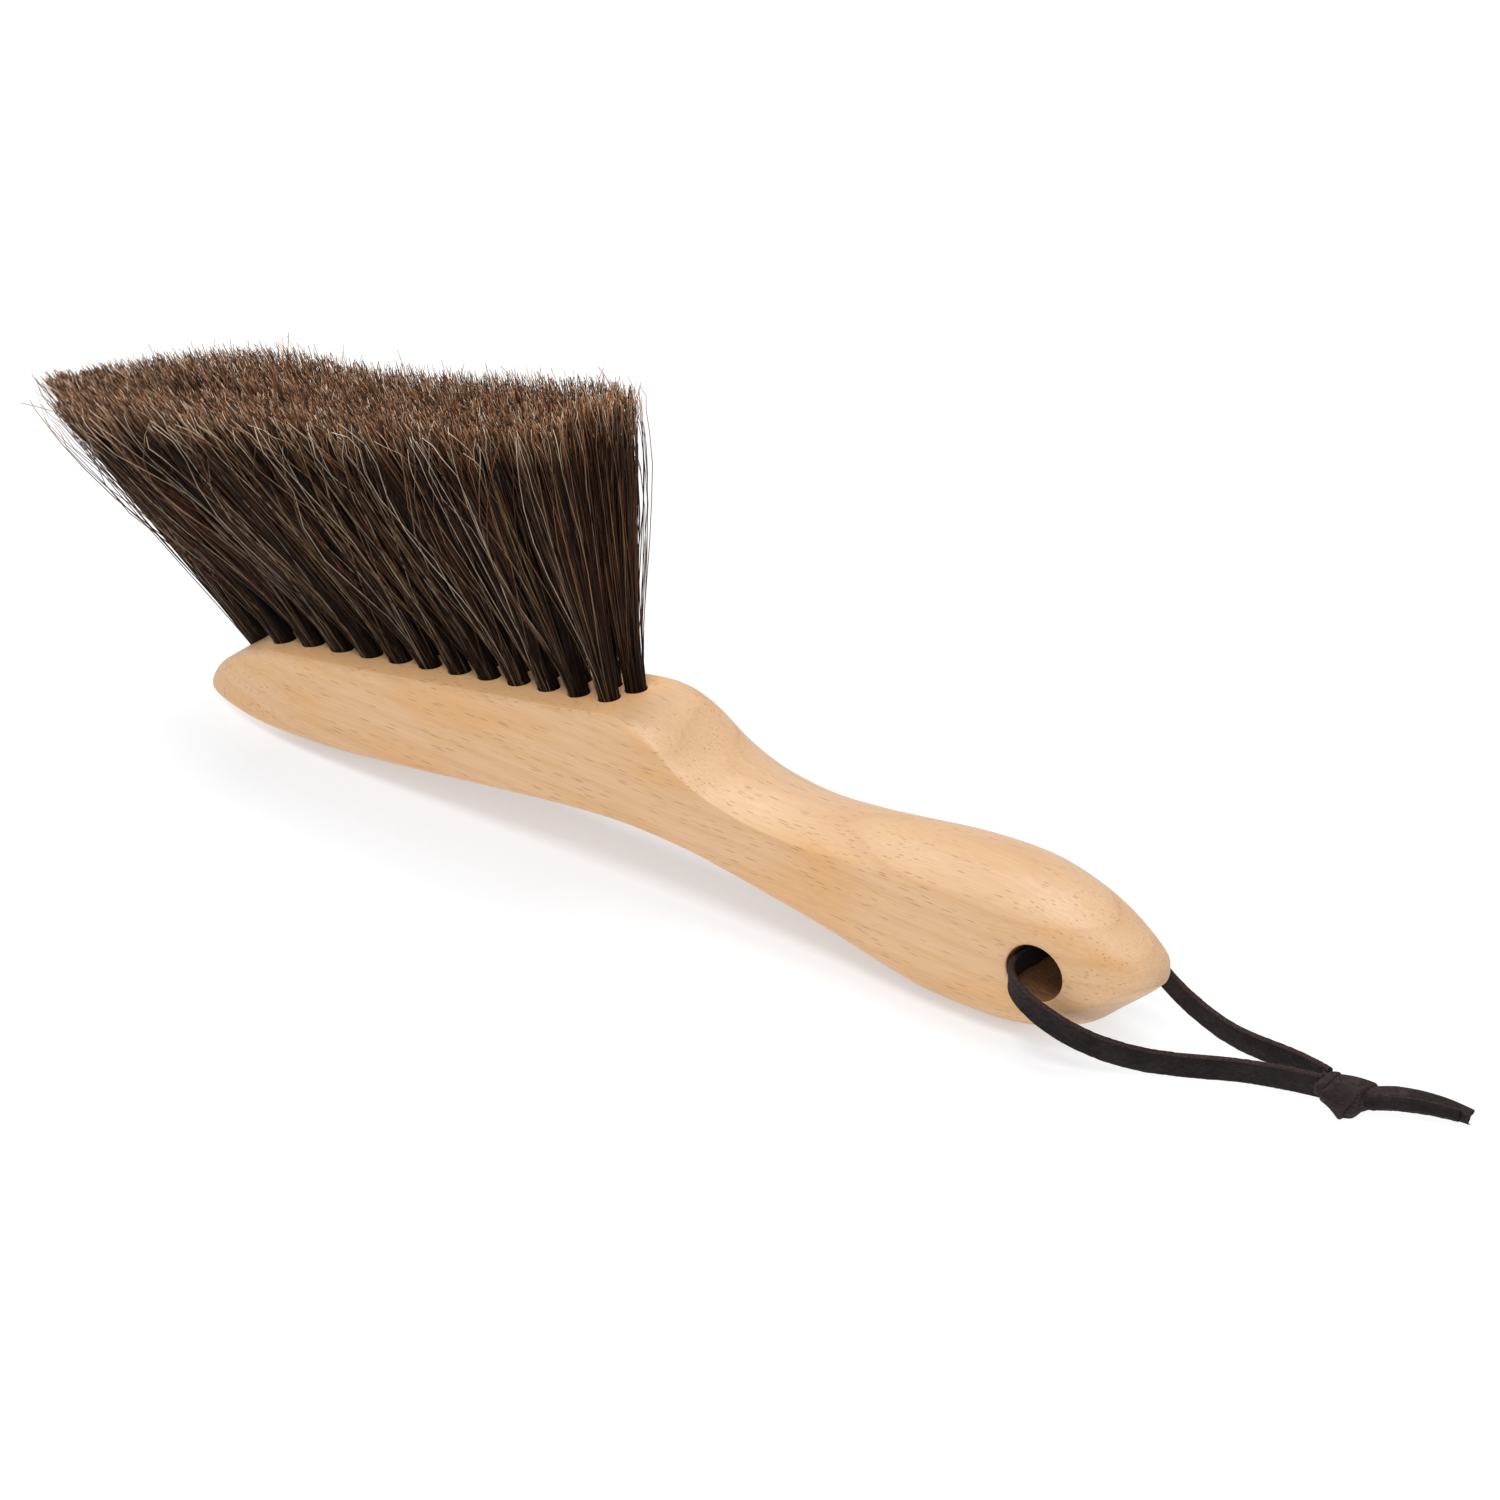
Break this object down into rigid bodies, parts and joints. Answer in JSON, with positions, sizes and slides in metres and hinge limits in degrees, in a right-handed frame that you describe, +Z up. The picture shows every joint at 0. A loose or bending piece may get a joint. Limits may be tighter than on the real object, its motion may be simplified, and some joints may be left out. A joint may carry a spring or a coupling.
{
  "type": "bee brush",
  "caption": "Long cranked wooden hand brush with staggered rows of soft dark bristle tufts and a knotted leather hanging thong.",
  "frame": {"origin": "on the surface that the brush lies on, in the middle of the outer box of the brush without its thong", "axes": "+X from the nose of the head to the end of the handle, +Z up through the bristles, the brush lying on its back; Y is across"},
  "size_m": [0.3441, 0.0343, 0.0968],
  "materials": {
    "beech": "satin",
    "horsehair": "satin",
    "steel_wire": "satin",
    "leather": "matte"
  },
  "bodies": {
    "brush": {"stock": "beech", "tuft_front_01": "horsehair", "tuft_front_02": "horsehair", "tuft_front_03": "horsehair", "tuft_front_04": "horsehair", "tuft_front_05": "horsehair", "tuft_front_06": "horsehair", "tuft_front_07": "horsehair", "tuft_front_08": "horsehair", "tuft_front_09": "horsehair", "tuft_front_10": "horsehair", "tuft_front_11": "horsehair", "tuft_front_12": "horsehair", "tuft_back_01": "horsehair", "tuft_back_02": "horsehair", "tuft_back_03": "horsehair", "tuft_back_04": "horsehair", "tuft_back_05": "horsehair", "tuft_back_06": "horsehair", "tuft_back_07": "horsehair", "tuft_back_08": "horsehair", "tuft_back_09": "horsehair", "tuft_back_10": "horsehair", "tuft_back_11": "horsehair", "tuft_back_12": "horsehair", "tuft_back_13": "horsehair", "tuft_back_14": "horsehair", "anchors": "steel_wire"},
    "thong": {"thong_front": "leather", "thong_back": "leather", "thong_knot": "leather", "thong_tail_back": "leather", "thong_tail_front": "leather"}
  },
  "joints": [
    {"name": "thong_swing", "type": "hinge", "parent": "brush", "child": "thong", "pos_m": [0.12, 0, 0.0164], "axis": [0, -1, 0], "range_deg": [-80, 100]}
  ]
}
